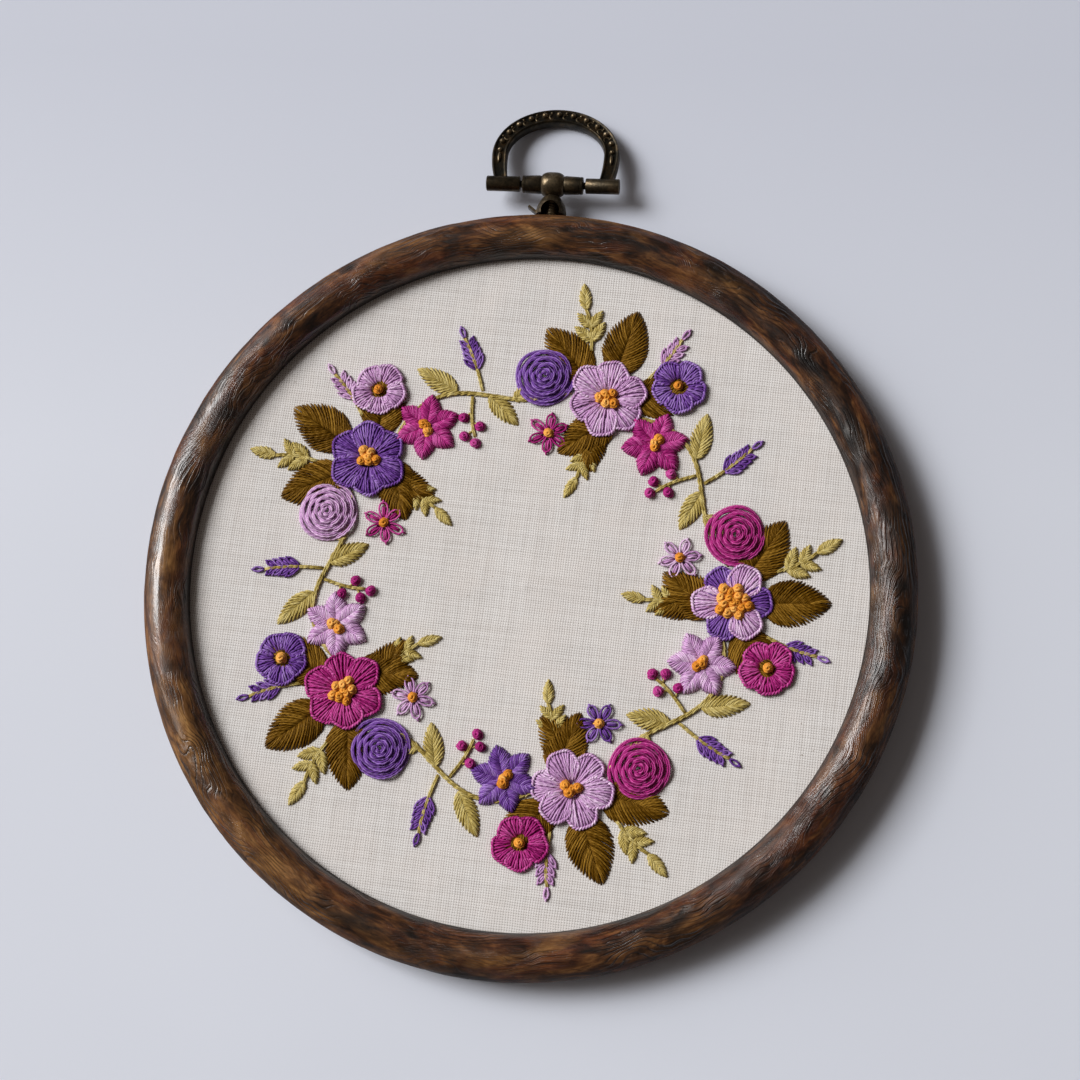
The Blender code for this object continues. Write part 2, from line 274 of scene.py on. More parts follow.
class Finish:
    """A material and its nodes, added one call at a time."""

    def __init__(self, name, **shader_values):
        self.material = bpy.data.materials.new(name)
        self.material.use_nodes = True
        self.tree = self.material.node_tree
        self.shader = self.tree.nodes["Principled BSDF"]
        for key, value in shader_values.items():
            self.shader.inputs[key.replace("_", " ")].default_value = value

    def plug(self, socket, value):
        if isinstance(value, bpy.types.NodeSocket):
            self.tree.links.new(value, socket)
        else:
            socket.default_value = value

    def node(self, kind, inputs=(), **settings):
        made = self.tree.nodes.new("ShaderNode" + kind)
        for key, value in settings.items():
            setattr(made, key, value)
        for key, value in dict(inputs).items():
            self.plug(made.inputs[key], value)
        return made

    def place(self):
        return self.node("TexCoord").outputs["Object"]

    def attribute(self, name, output="Fac"):
        return self.node("Attribute", attribute_name=name).outputs[output]

    def math(self, operation, first, second=0.0, third=0.0):
        return self.node("Math", {0: first, 1: second, 2: third}, operation=operation).outputs[0]

    def times(self, first, second):
        return self.math("MULTIPLY", first, second)

    def times_add(self, first, second, added):
        return self.math("MULTIPLY_ADD", first, second, added)

    def lines(self, phase, sharpness):
        """Thin lines from 0 to 1, one for each whole number that the phase passes."""
        wave = self.math("COSINE", self.times(phase, 2 * math.pi))
        return self.math("POWER", self.times_add(wave, 0.5, 0.5), sharpness)

    def parts(self, vector):
        return self.node("SeparateXYZ", {0: vector}).outputs

    def stretch(self, vector, scale, turn=0.0):
        settings = {"Vector": vector, "Scale": scale, "Rotation": (0, 0, turn)}
        return self.node("Mapping", settings).outputs[0]

    def noise(self, vector, scale, detail=3.0, roughness=0.55, distortion=0.0):
        """Noise at a scale, which is one number or one for each axis."""
        if isinstance(scale, tuple):
            vector, scale = self.stretch(vector, scale), 1.0
        settings = {"Vector": vector, "Scale": scale, "Detail": detail}
        settings.update({"Roughness": roughness, "Distortion": distortion})
        return self.node("TexNoise", settings).outputs["Fac"]

    def ramp(self, value, *stops):
        """A run of colours; a stop is its position with the red, green and blue of rgb."""
        made = self.node("ValToRGB", {0: value})
        elements = made.color_ramp.elements
        while len(elements) < len(stops):
            elements.new(0.5)
        for element, (position, *colour) in zip(elements, stops):
            element.position = position
            element.color = rgb(*colour)
        return made.outputs[0]

    def spread(self, value, low, high, to_low=0.0, to_high=1.0):
        """The value's range from low to high spread from to_low to to_high."""
        inputs = {0: value, 1: low, 2: high, 3: to_low, 4: to_high}
        return self.node("MapRange", inputs).outputs[0]

    def mix(self, share, first, second):
        return self.node("Mix", {0: share, 6: first, 7: second}, data_type="RGBA").outputs[2]

    def bump(self, height, distance, strength=1.0, socket="Normal"):
        settings = {"Height": height, "Distance": distance, "Strength": strength}
        self.plug(self.shader.inputs[socket], self.node("Bump", settings).outputs[0])

    def colour(self, value):
        self.plug(self.shader.inputs["Base Color"], value)

    def roughness(self, value):
        self.plug(self.shader.inputs["Roughness"], value)


def vinyl_finish():
    """Glossy imitation wood: mottled brown, ochre and near-black patches, dark embossed grain, with
    painted shade on the side away from the light and painted crevice shade along the cloth.
    """
    look = Finish("grained_vinyl", Specular_IOR_Level=0.2, Coat_Roughness=0.13)
    # The edge attribute is painted crevice shade: next to the cloth the ring is darkened to near-black and
    # its gloss cut
    edge = look.attribute("edge")
    matte = look.attribute("matte")
    look.plug(look.shader.inputs["Coat Weight"], look.times_add(matte, -0.85, 0.95))
    grain = look.attribute("grain", "Vector")
    streaks = look.noise(grain, (220, 220, 1100), 5.0, 0.62, 1.0)
    clouds = look.noise(grain, (110, 110, 300), 4.0, 0.55, 1.4)
    blotches = look.noise(grain, (45, 45, 140), 3.0, 0.5, 0.8)
    fleck = look.noise(grain, (900, 900, 3600), 4.0, 0.65, 0.4)
    tone = look.times_add(streaks, 0.4, look.times(clouds, 0.6))
    brown = look.ramp(tone, (0.38, 24, 14, 9), (0.47, 60, 35, 20), (0.54, 92, 57, 31), (0.63, 134, 91, 52))
    red = look.ramp(tone, (0.38, 34, 14, 7), (0.5, 80, 39, 19), (0.62, 120, 68, 35))
    ochre = look.ramp(tone, (0.36, 78, 49, 24), (0.5, 132, 91, 48), (0.64, 176, 132, 78))
    char_and_shade = look.ramp(tone, (0.38, 11, 9, 9), (0.64, 36, 27, 21))
    base = look.mix(look.spread(blotches, 0.46, 0.56), brown, red)
    base = look.mix(look.spread(blotches, 0.58, 0.68, 0.0, 0.6), base, ochre)
    base = look.mix(look.spread(blotches, 0.43, 0.32, 0.0, 0.85), base, char_and_shade)
    base = look.mix(look.attribute("ochre"), base, ochre)
    # Painted shade: near-black where the char attribute (partly painted shade) or the painted crevice
    # shade of the edge attribute is high
    base = look.mix(look.math("MAXIMUM", look.attribute("char_and_shade"), edge), base, char_and_shade)
    base = look.mix(look.spread(fleck, 0.42, 0.3, 0.0, 0.6), base, rgb(22, 13, 9))
    wander = look.times_add(streaks, 0.7, look.attribute("phase"))
    groove = look.times(look.lines(wander, 6.0), look.attribute("depth"))
    hair_mask = look.spread(blotches, 0.4, 0.6, 0.0, 0.55)
    hair = look.times(look.lines(look.times(wander, 3.0), 4.0), hair_mask)
    cut = look.math("MAXIMUM", groove, look.times(hair, 0.7))
    look.colour(look.mix(look.times(cut, 0.8), base, rgb(16, 10, 8)))
    satin = look.spread(fleck, 0.3, 0.7, 0.46, 0.3)
    look.roughness(look.math("MAXIMUM", satin, look.times(matte, 0.7)))
    relief = look.math("SUBTRACT", look.times(streaks, 0.5), cut)
    look.bump(look.times_add(fleck, 0.3, relief), 0.13 * MM, 0.85)
    look.bump(relief, 0.08 * MM, 0.6, "Coat Normal")
    return look.material


def calico_finish():
    """Unbleached plain weave: threads over and under, with painted shade in the pinholes and between the
    threads, slubs and seed specks.
    """
    look = Finish("calico", Roughness=0.92, Specular_IOR_Level=0.2, Sheen_Weight=0.2, Sheen_Roughness=0.5)
    threads = 1 / WEAVE_PITCH
    place = look.stretch(look.place(), (threads, threads, threads), HOOP_TURN)
    wander = look.noise(place, 0.05, 2.0)
    x, y, _ = look.parts(place)
    x = look.times_add(wander, 1.4, x)
    y = look.times_add(wander, 1.1, y)
    across = look.math("ABSOLUTE", look.math("SINE", look.times(x, math.pi)))
    along = look.math("ABSOLUTE", look.math("SINE", look.times(y, math.pi)))
    cells = look.math("ADD", look.math("FLOOR", x), look.math("FLOOR", y))
    over = look.math("PINGPONG", cells, 1.0)
    warp = look.times(across, look.math("POWER", along, 0.4))
    weft = look.times(along, look.math("POWER", across, 0.4))
    over_weft = look.times(weft, look.math("SUBTRACT", 1.0, over))
    weave = look.math("ADD", look.times(warp, over), over_weft)
    # Painted shade: the pinholes between the threads are coloured dark
    pinhole_shade = look.spread(look.math("ADD", across, along), 0.8, 0.25)
    warp_slub = look.noise(place, (1.1, 0.035, 0.035), 2.0, 0.5)
    weft_slub = look.noise(place, (0.035, 1.1, 0.035), 2.0, 0.5)
    slub = look.math("ADD", warp_slub, weft_slub)
    cloudy = look.noise(place, 0.06)
    # The weave's height lightens the threads' crowns and darkens between them: painted shade
    tone = look.times_add(slub, 0.3, look.times(weave, 0.25))
    cream = look.ramp(tone, (0.26, 205, 200, 196), (0.46, 231, 228, 226), (0.7, 241, 239, 237))
    warm = look.mix(look.spread(cloudy, 0.4, 0.7, 0.0, 0.4), cream, rgb(233, 225, 220))
    warm = look.mix(pinhole_shade, warm, rgb(122, 112, 104))
    specks = look.noise(place, 0.9, 0.0)
    look.colour(look.mix(look.spread(specks, 0.86, 0.9, 0.0, 0.7), warm, rgb(120, 98, 76)))
    look.bump(look.times_add(slub, 0.4, weave), 0.07 * MM, 0.55)
    return look.material


def plastic_finish():
    look = Finish("inner_plastic")
    speckle = look.noise(look.place(), 900.0)
    look.colour(look.ramp(speckle, (0.3, 38, 28, 22), (0.7, 56, 43, 35)))
    look.roughness(look.spread(speckle, 0.3, 0.7, 0.38, 0.55))
    look.bump(speckle, 0.03 * MM)
    return look.material


def brass_finish(name, least_wear):
    """Antique brass: dark in its hollows, rubbed bright on the beads, rims and ball."""
    look = Finish(name, Metallic=0.85)
    place = look.place()
    cloud = look.noise(place, 520.0, 4.0, 0.6)
    fine = look.noise(place, 2600.0, 3.0, 0.6)
    dark = look.ramp(cloud, (0.35, 20, 20, 17), (0.52, 38, 34, 26), (0.7, 72, 55, 33))
    worn = look.ramp(cloud, (0.3, 82, 68, 47), (0.55, 130, 113, 87), (0.75, 190, 174, 147))
    wear = look.math("MAXIMUM", look.attribute("wear"), least_wear)
    rub = look.times(wear, look.spread(fine, 0.3, 0.6, 0.45, 1.0))
    look.colour(look.mix(rub, dark, worn))
    look.roughness(look.spread(cloud, 0.3, 0.7, 0.48, 0.3))
    look.bump(look.math("ADD", fine, cloud), 0.06 * MM, 0.7)
    return look.material


def thread_finish(name, deep, plain, bright):
    """Lustrous cotton floss: two plies twisted along each strand, with painted shade on each strand's
    underside, between the strands.
    """
    look = Finish(name, Specular_IOR_Level=0.5, Specular_Tint=rgb(*bright))
    ply_cos, ply_sin, along = look.parts(look.attribute("ply", "Vector"))
    turn = look.times(along, 2 * math.pi / PLY_PITCH)
    twist = look.times(ply_cos, look.math("COSINE", turn))
    twist = look.times_add(ply_sin, look.math("SINE", turn), twist)
    winding = look.node("CombineXYZ", {0: ply_cos, 1: ply_sin, 2: turn}).outputs[0]
    fibres = look.noise(winding, 2.2)
    shade = look.times_add(look.attribute("shade"), 0.8, look.times(twist, 0.1))
    shade = look.times_add(fibres, 0.3, shade)
    # Painted shade: the low attribute darkens each strand's underside
    shade = look.times_add(look.attribute("low"), -0.36, shade)
    look.colour(look.ramp(shade, (0.0, *deep), (0.46, *plain), (0.92, *bright)))
    look.roughness(look.spread(fibres, 0.3, 0.7, 0.3, 0.46))
    look.bump(look.times_add(fibres, 0.5, twist), 0.05 * MM, 0.9)
    return look.material


# Outer ring


def ring_section():
    """The section from the cloth over the front and round the back, and how free each point is."""
    half_width = (RING_OUTER_R - RING_SIGHT_R) / 2
    centre = (RING_SIGHT_R + half_width, RING_SPRING_Z)
    wall_r = CLOTH_OUTER_R + GAP
    lip_z = CLOTH_FRONT_Z + GAP
    back_r = RING_OUTER_R - RING_BACK_ROUND
    front = arc(centre, (half_width, RING_TOP_Z - RING_SPRING_Z), 180, 0, 78)
    wall = line((RING_OUTER_R, RING_SPRING_Z), (RING_OUTER_R, RING_BACK_ROUND), 12)
    corner = arc((back_r, RING_BACK_ROUND), (RING_BACK_ROUND, RING_BACK_ROUND), 0, -90, 10)
    back = line((back_r, 0), (wall_r + REBATE_CHAMFER, 0), 2)
    rebate = [
        (wall_r + REBATE_CHAMFER, 0),
        (wall_r, REBATE_CHAMFER),
        (wall_r, lip_z),
        (RING_SIGHT_R + GAP / 2, lip_z),
    ]
    section = np.concatenate([front, wall, corner, back, rebate])
    free = np.zeros(len(section))
    shown = len(front) + len(wall) + len(corner) - 3
    free[:shown] = np.clip(np.minimum(np.arange(shown) / 5, (shown - np.arange(shown)) / 8), 0, 1)
    return section, free


# Patches of colour round the ring: degrees from +X, reach in degrees, place across the
# front from the cloth (0) to the back edge (1), width there, strength
OCHRE_PATCHES = [
    (205, 9, 0.34, 0.20, 0.9),
    (219, 6, 0.30, 0.16, 0.75),
    (229, 10, 0.42, 0.15, 0.85),
    (243, 7, 0.60, 0.15, 0.5),
    (256, 9, 0.55, 0.13, 0.5),
    (268, 6, 0.35, 0.13, 0.4),
    (60, 4, 0.34, 0.12, 0.8),
    (66, 5, 0.22, 0.10, 0.5),
    (92, 5, 0.30, 0.16, 0.6),
    (117, 7, 0.42, 0.16, 0.35),
    (8, 6, 0.42, 0.14, 0.35),
    (338, 7, 0.34, 0.12, 0.3),
    (300, 8, 0.5, 0.18, 0.25),
    (212, 26, 0.4, 0.35, 0.6),
    (180, 14, 0.35, 0.2, 0.45),
]
# The four broad patches first in this list, on the right and at the bottom, are painted shade on the side
# away from the light; the others are the vinyl's own near-black mottling
CHAR_AND_SHADE_PATCHES = [
    (4, 26, 0.4, 0.5, 0.72),
    (48, 20, 0.5, 0.5, 0.55),
    (266, 18, 0.6, 0.5, 0.62),
    (312, 24, 0.55, 0.45, 0.3),
    (74, 7, 0.38, 0.13, 0.95),
    (62, 7, 0.45, 0.16, 0.85),
    (50, 8, 0.55, 0.18, 0.8),
    (84, 5, 0.5, 0.12, 0.6),
    (30, 12, 0.75, 0.22, 0.7),
    (0, 14, 0.78, 0.22, 0.75),
    (352, 3, 0.3, 0.08, 0.7),
    (330, 12, 0.72, 0.24, 0.7),
    (310, 7, 0.4, 0.22, 0.75),
    (296, 5, 0.3, 0.16, 0.5),
    (152, 6, 0.22, 0.14, 0.85),
    (166, 7, 0.16, 0.12, 0.8),
    (185, 9, 0.12, 0.10, 0.5),
    (132, 6, 0.25, 0.12, 0.5),
]
# Where the gloss is rubbed down
DULL_PATCHES = [
    (14, 30, 0.3, 0.4, 0.78),
    (346, 14, 0.3, 0.4, 0.6),
    (141, 15, 0.4, 0.4, 0.6),
    (118, 6, 0.4, 0.3, 0.4),
]
# Knots that the grain swirls round: degrees from +X, place across the front, reach along, reach across
RING_KNOTS = [
    (158, 0.40, 4.2, 0.16),
    (212, 0.36, 5.0, 0.15),
    (232, 0.50, 4.6, 0.15),
    (262, 0.42, 5.5, 0.18),
    (64, 0.25, 4.5, 0.16),
    (96, 0.40, 5.5, 0.18),
    (40, 0.30, 4.0, 0.14),
    (355, 0.38, 4.5, 0.14),
    (322, 0.36, 5.0, 0.16),
    (290, 0.45, 4.0, 0.14),
]


def bell(degrees, across, angle, reach, place, width):
    """A soft oval patch on the ring, 1 at its middle."""
    apart = (degrees - angle + 180) % 360 - 180
    return np.exp(-((apart / reach) ** 2) - ((across - place) / width) ** 2)


def patch_field(degrees, across, patches):
    field = np.zeros(np.broadcast(degrees, across).shape)
    for angle, reach, place, width, strength in patches:
        field = np.maximum(field, strength * bell(degrees, across, angle, reach, place, width))
    return field


def make_outer_ring(material):
    """The ring with its embossed grain: grooves that run along it and swirl round knots."""
    steps = 680
    section, free = ring_section()
    shifted = np.roll(section, -1, 0) - np.roll(section, 1, 0)
    outward = np.stack([-shifted[:, 1], shifted[:, 0]], 1)
    outward /= np.linalg.norm(outward, axis=1)[:, None]
    walked = np.concatenate([[0], np.cumsum(np.linalg.norm(np.diff(section, axis=0), axis=1))])
    shown_length = walked[np.nonzero(free)[0][-1]]
    across = np.clip(walked / shown_length, 0, 1.2)[None, :]
    degrees = np.linspace(0, 360, steps, endpoint=False)[:, None]
    u, v = degrees / 360 + 0 * across, across / 1.25 + 0 * degrees
    phase = (across + 0 * degrees) * shown_length / GROOVE_PITCH
    phase = phase + 1.5 * smooth_noise(u, v, 44, 4, 1) + 0.85 * smooth_noise(u, v, 96, 8, 2)
    phase = phase + 0.35 * smooth_noise(u, v, 230, 18, 3)
    for angle, place, reach, width in RING_KNOTS:
        phase = phase + 3.2 * bell(degrees, across, angle, reach, place, width)
    groove = (0.5 + 0.5 * np.cos(2 * math.pi * phase)) ** 3
    depth = np.clip(0.5 + 0.9 * smooth_noise(u, v, 70, 7, 4), 0.1, 1.0) * free
    swell = 0.6 * smooth_noise(u, v, 60, 5, 5) + 0.4 * smooth_noise(u, v, 160, 14, 6)
    lift = (0.09 * swell * free - 0.11 * groove * depth) * MM
    verts = turned_verts(section, steps, lift * outward[None, :, 0], lift * outward[None, :, 1])
    turn = np.radians(degrees) + 0 * across
    x, y = RING_OUTER_R * np.cos(turn), RING_OUTER_R * np.sin(turn)
    grain = np.stack([x, y, walked + 0 * turn], -1)
    ragged = 0.75 + 0.5 * smooth_noise(u, v, 150, 12, 7)
    # Painted crevice shade: the ring darkens and goes matte next to the cloth
    crevice_shade_mask = np.clip(1.2 - across / 0.11, 0, 1)
    outer_side = np.clip((across - 0.44) / 0.1, 0, 1)
    dull = np.clip(patch_field(degrees, across, DULL_PATCHES) * ragged, 0, 1)
    attributes = [
        ("grain", "FLOAT_VECTOR", grain),
        ("phase", "FLOAT", phase),
        ("depth", "FLOAT", depth),
        ("edge", "FLOAT", crevice_shade_mask + 0 * degrees),
        ("matte", "FLOAT", np.maximum(np.maximum(crevice_shade_mask, outer_side), dull)),
        ("ochre", "FLOAT", np.clip(patch_field(degrees, across, OCHRE_PATCHES) * ragged, 0, 1)),
        # The char attribute is partly painted shade, from the broad patches on the right and at the bottom
        ("char_and_shade", "FLOAT", np.clip(patch_field(degrees, across, CHAR_AND_SHADE_PATCHES) * ragged, 0, 1)),
    ]
    faces = [grid_quads(steps, len(section), True, True)[:, ::-1]]
    ring = add_mesh("ring_with_grain", verts, faces, material, attributes)
    ring.data.set_sharp_from_angle(angle=math.radians(50))
    return ring


# Cloth


def make_cloth(material):
    """The calico as one drum skin with its edge turned down between the rings."""
    steps = 256
    fold_r = 0.8 * MM
    flat_r = CLOTH_OUTER_R - fold_r
    inset = 0.4 * MM
    radius = np.linspace(inset, flat_r - inset, 44)
    front = np.stack([radius, np.full_like(radius, CLOTH_FRONT_Z)], 1)
    fold = arc((flat_r, CLOTH_FRONT_Z - fold_r), (fold_r, fold_r), 90, 0, 6)
    skirt = line((CLOTH_OUTER_R, CLOTH_FRONT_Z - fold_r), (CLOTH_OUTER_R, CLOTH_TRIM_Z), 6)
    profile = np.concatenate([front, fold, skirt, [(CLOTH_OUTER_R, CLOTH_TRIM_Z)]])
    u = np.linspace(0, 1, steps, endpoint=False)[:, None]
    v = profile[None, :, 0] / CLOTH_OUTER_R
    x, y = v * np.cos(2 * math.pi * u), v * np.sin(2 * math.pi * u)
    inside = np.clip((flat_r - profile[:, 0]) / (6 * MM), 0, 1)[None, :]
    ripple = smooth_noise(0.5 + x / 2.2, 0.5 + y / 2.2, 9, 9, 21) * 0.10
    ripple = ripple + smooth_noise(0.5 + x / 2.2, 0.5 + y / 2.2, 34, 34, 22) * 0.035
    verts = turned_verts(profile, steps, 0.0, ripple * inside * MM)
    centre = np.array([[HOOP.x, HOOP.y, CLOTH_FRONT_Z]])
    columns = len(profile)
    first = np.arange(steps) * columns
    fan = np.stack([np.full(steps, steps * columns), first, np.roll(first, -1)], 1)
    faces = [grid_quads(steps, columns, True, False)[:, ::-1], fan]
    cloth = add_mesh("cloth_sheet", np.concatenate([verts, centre]), faces, material)
    shell = cloth.modifiers.new("thickness", "SOLIDIFY")
    shell.thickness = CALICO_THICK
    shell.offset = -1
    shell.use_even_offset = True
    return cloth


# Sewing


class Strands:
    """Strands laid as paths, gathered by colour and made into one mesh for each."""

    def __init__(self):
        self.laid = {}
        self.last_end = {}

    def lay(self, colour, path, radius, shade):
        """Add one strand along a path of frame points."""
        path = np.asarray(path, float)
        self.laid.setdefault(colour, {}).setdefault(len(path), []).append((path, radius, shade))

    def travel(self, colour, path, shade):
        """The thread's way behind the cloth, from this colour's last stitch to the start of this one."""
        last = self.last_end.get(colour)
        self.last_end[colour] = path[-1]
        if last is None:
            return
        gone = np.linalg.norm((path[0] - last)[:2])
        if TRAVEL_LEAST < gone < TRAVEL_MOST:
            share = np.array([0, 0.15, 0.85, 1])[:, None]
            behind = last * (1 - share) + path[0] * share
            back_z = CLOTH_FRONT_Z - CALICO_THICK - 0.14 * MM
            behind[:, 2] = back_z + np.array([0.2, 0, 0, 0.2]) * MM
            self.lay(colour, behind, 0.19 * MM, shade)

    def mesh(self, colour, material):
        """All strands of one colour as one mesh of closed tubes, a little flattened."""
        verts, quads, caps, ply, shade, low = [], [], [], [], [], []
        base, sides = 0, 5
        phi = 2 * math.pi * np.arange(sides) / sides + math.pi / 2
        around = np.arange(sides)
        for count, group in self.laid[colour].items():
            paths = np.stack([entry[0] for entry in group])
            radii = np.array([entry[1] for entry in group])[:, None] * np.ones(count)
            radii[:, [0, -1]] *= 0.7
            shades = np.array([entry[2] for entry in group])[:, None, None]
            tangent = np.gradient(paths, axis=1)
            tangent /= np.linalg.norm(tangent, axis=2, keepdims=True) + 1e-12
            side = np.cross(tangent, UP)
            side /= np.linalg.norm(side, axis=2, keepdims=True) + 1e-9
            above = np.cross(side, tangent)
            wide = side[:, :, None, :] * np.cos(phi)[:, None]
            tall = above[:, :, None, :] * (0.9 * np.sin(phi))[:, None]
            ring = paths[:, :, None, :] + radii[:, :, None, None] * (wide + tall)
            steps = np.linalg.norm(np.diff(paths, axis=1), axis=2)
            along = np.concatenate([np.zeros((len(group), 1)), np.cumsum(steps, 1)], 1)
            along = (along + paths[:, :1, 0] * 7)[:, :, None] + 0 * phi
            plies = [np.cos(2 * phi) + 0 * along, np.sin(2 * phi) + 0 * along, along]
            ply.append(np.stack(plies, -1).reshape(-1, 3))
            shade.append((shades + 0 * along).ravel())
            # low is painted shade, 1 at a strand's underside and 0 on top, darkening it towards the cloth
            low.append((0.5 - 0.5 * np.sin(phi) + 0 * along).ravel())
            verts.append(ring.reshape(-1, 3))
            offsets = base + np.arange(len(group)) * count * sides
            tube = grid_quads(count, sides, False, True)
            quads.append((tube + offsets[:, None, None]).reshape(-1, 4))
            caps.append(around[None] + offsets[:, None])
            caps.append((count - 1) * sides + around[None, ::-1] + offsets[:, None])
            base += len(group) * count * sides
        attributes = [
            ("ply", "FLOAT_VECTOR", np.concatenate(ply)),
            ("shade", "FLOAT", np.concatenate(shade)),
            ("low", "FLOAT", np.concatenate(low)),
        ]
        faces = [np.concatenate(quads), np.concatenate(caps)]
        return add_mesh(f"stitches_{colour}", np.concatenate(verts), faces, material, attributes)


THREADS = Strands()
RANDOM = np.random.default_rng(52)


class Spot:
    """Where a motif lies: its middle and turn on the cloth, and its height over the cloth."""

    def __init__(self, x, y, turn=0.0, lift=0.0, parent=None):
        angle = math.radians(turn)
        spin = np.array([[math.cos(angle), -math.sin(angle)], [math.sin(angle), math.cos(angle)]])
        self.spin = spin if parent is None else parent.spin @ spin
        middle = np.array([x, y], float)
        self.middle = middle if parent is None else parent.middle + parent.spin @ middle
        self.lift = lift if parent is None else parent.lift + lift

    def frame(self, points, heights):
        """Frame points from motif points and heights over the cloth, both in millimetres."""
        flat = self.middle + np.asarray(points, float) @ self.spin.T
        z = CLOTH_FRONT_Z / MM + self.lift + np.asarray(heights, float)
        return np.column_stack([flat[:, 0], flat[:, 1], z]) * MM + np.array([HOOP.x, HOOP.y, 0])


def jitter(amount):
    return RANDOM.uniform(-amount, amount)


def stitch(
    colour, spot, start, end, height=0.3, radius=STRAND_R, bow=0.0, shade=0.5, end_height=None, points=6
):
    """One straight stitch, slightly bowed, that dives into the cloth at its start and at its end."""
    start, end = np.array(start, float), np.array(end, float)
    share = np.linspace(0, 1, points)[:, None]
    across = np.array([start[1] - end[1], end[0] - start[0]])
    path = start + (end - start) * share + across * bow * np.sin(math.pi * share)
    sink = -0.2 - spot.lift
    heights = np.full(points, height)
    heights[0] = sink
    heights[-1] = sink if end_height is None else end_height
    heights[1] = 0.25 * sink + 0.75 * height
    heights[-2] = 0.25 * heights[-1] + 0.75 * height
    path = spot.frame(path, heights)
    THREADS.lay(colour, path, radius * MM, shade)
    THREADS.travel(colour, path, shade)


def purl(colour, spot, edge, height, radius, tone):
    """The roped edge of buttonhole stitches: short slanted strands, each under the next."""
    for first, second in zip(edge, edge[1:]):
        outward = np.array([first[1] - second[1], second[0] - first[0]])
        outward /= np.linalg.norm(outward) + 1e-9
        start = first - outward * 0.24 - (second - first) * 0.2
        end = second + outward * 0.16 + (second - first) * 0.25
        share = np.linspace(0, 1, 5)[:, None]
        path = start + (end - start) * share
        heights = height + np.array([-0.2, 0.09, 0.15, 0.06, -0.25])
        THREADS.lay(colour, spot.frame(path, heights), radius * MM, tone + jitter(0.26))


def resample(points, spacing):
    """Points evenly spaced along a polyline."""
    points = np.asarray(points, float)
    steps = np.concatenate([[0], np.cumsum(np.linalg.norm(np.diff(points, axis=0), axis=1))])
    count = max(3, int(round(steps[-1] / spacing)) + 1)
    at = np.linspace(0, steps[-1], count)
    return np.stack([np.interp(at, steps, points[:, axis]) for axis in (0, 1)], 1)


def buttonhole_petal(colour, spot, base, reach, half_width, spacing, tone):
    """A petal along +Y: long and short spokes fan out from its foot to a roped edge."""
    tau = np.radians(np.linspace(-132, 132, 61))
    middle = base + (reach - base) * 0.56
    wave = 1 + 0.045 * np.sin(5 * tau + spot.middle[0])
    x = half_width * np.sin(tau) * wave
    y = middle + (reach - middle) * np.cos(tau) * wave
    edge = resample(np.stack([x, y], 1), spacing)
    count = len(edge)
    for index, tip in enumerate(edge):
        share = index / (count - 1) * 2 - 1
        foot = np.array([0.34 * half_width * share, base + 0.25 * abs(share) + jitter(0.12)])
        if index + 1 < count:
            between = (tip + edge[index + 1]) / 2
            # The under-strand's tone is lowered by 0.2: painted shade in the gaps between the spokes
            stitch(colour, spot, foot, between, 0.16, 0.25, 0.0, tone - 0.2, 0.1, 5)
        if index % 2:
            foot = foot + (tip - foot) * (0.3 + jitter(0.08))
        height = 0.36 + 0.14 * (1 - share * share) + jitter(0.05)
        shade = tone + 0.1 * math.cos(3.1 * share + spot.middle[0]) + jitter(0.17)
        stitch(colour, spot, foot, tip, height, 0.21, 0.03 * share + jitter(0.05), shade, 0.24)
    purl(colour, spot, edge, 0.32, 0.24, tone + 0.08)


def french_knot(colour, spot, x, y, size, height):
    """Thread wound round itself into a dome, and its tail drawn down through the middle."""
    turns = 2.6
    share = np.linspace(0, 1, 26)
    angle = 2 * math.pi * turns * share + RANDOM.uniform(0, 2 * math.pi)
    around = size * (0.92 - 0.68 * share) * (1 + 0.08 * np.sin(2.3 * angle))
    coil = np.stack([x + around * np.cos(angle), y + around * np.sin(angle)], 1)
    rise = height - 0.3 + size * (0.95 * share ** 0.7 + 0.08 * np.sin(1.7 * angle))
    rise[0] -= 0.3
    tail_share = np.linspace(0, 1, 5)[1:]
    tail = coil[-1] * (1 - tail_share[:, None]) + np.array([x, y]) * tail_share[:, None]
    path = np.concatenate([coil, tail])
    heights = np.concatenate([rise, rise[-1] - size * 0.6 * tail_share ** 1.4])
    THREADS.lay(colour, spot.frame(path, heights), 0.29 * size * MM, 0.5 + jitter(0.25))


def knot_cluster(spot, count):
    """Orange French knots, packed in sunflower order."""
    height = 0.7
    away = 0.72 * math.sqrt(max(count - 1, 0))
    for index in range(count):
        angle = index * 2.4 + spot.middle[0]
        reach = away * math.sqrt(index / max(count - 1, 1))
        x, y = reach * math.cos(angle), reach * math.sin(angle)
        french_knot("orange", spot, x, y, 0.95 + jitter(0.1), height)


def round_flower(spot, colours, petals, reach, knots):
    """A flower of broad buttonhole petals, each overlapping the next."""
    width = math.tan(math.pi / petals) * reach * 0.7
    for index in range(petals):
        turn = 360 * index / petals + jitter(5)
        petal_spot = Spot(0, 0, turn, 0.14 * (index % 2), spot)
        colour = colours[index % len(colours)]
        longer = reach * (1 + jitter(0.06))
        wider = width * (1 + jitter(0.05))
        buttonhole_petal(colour, petal_spot, 0.9, longer, wider, 0.56, 0.5 + jitter(0.1))
    knot_cluster(spot, knots)


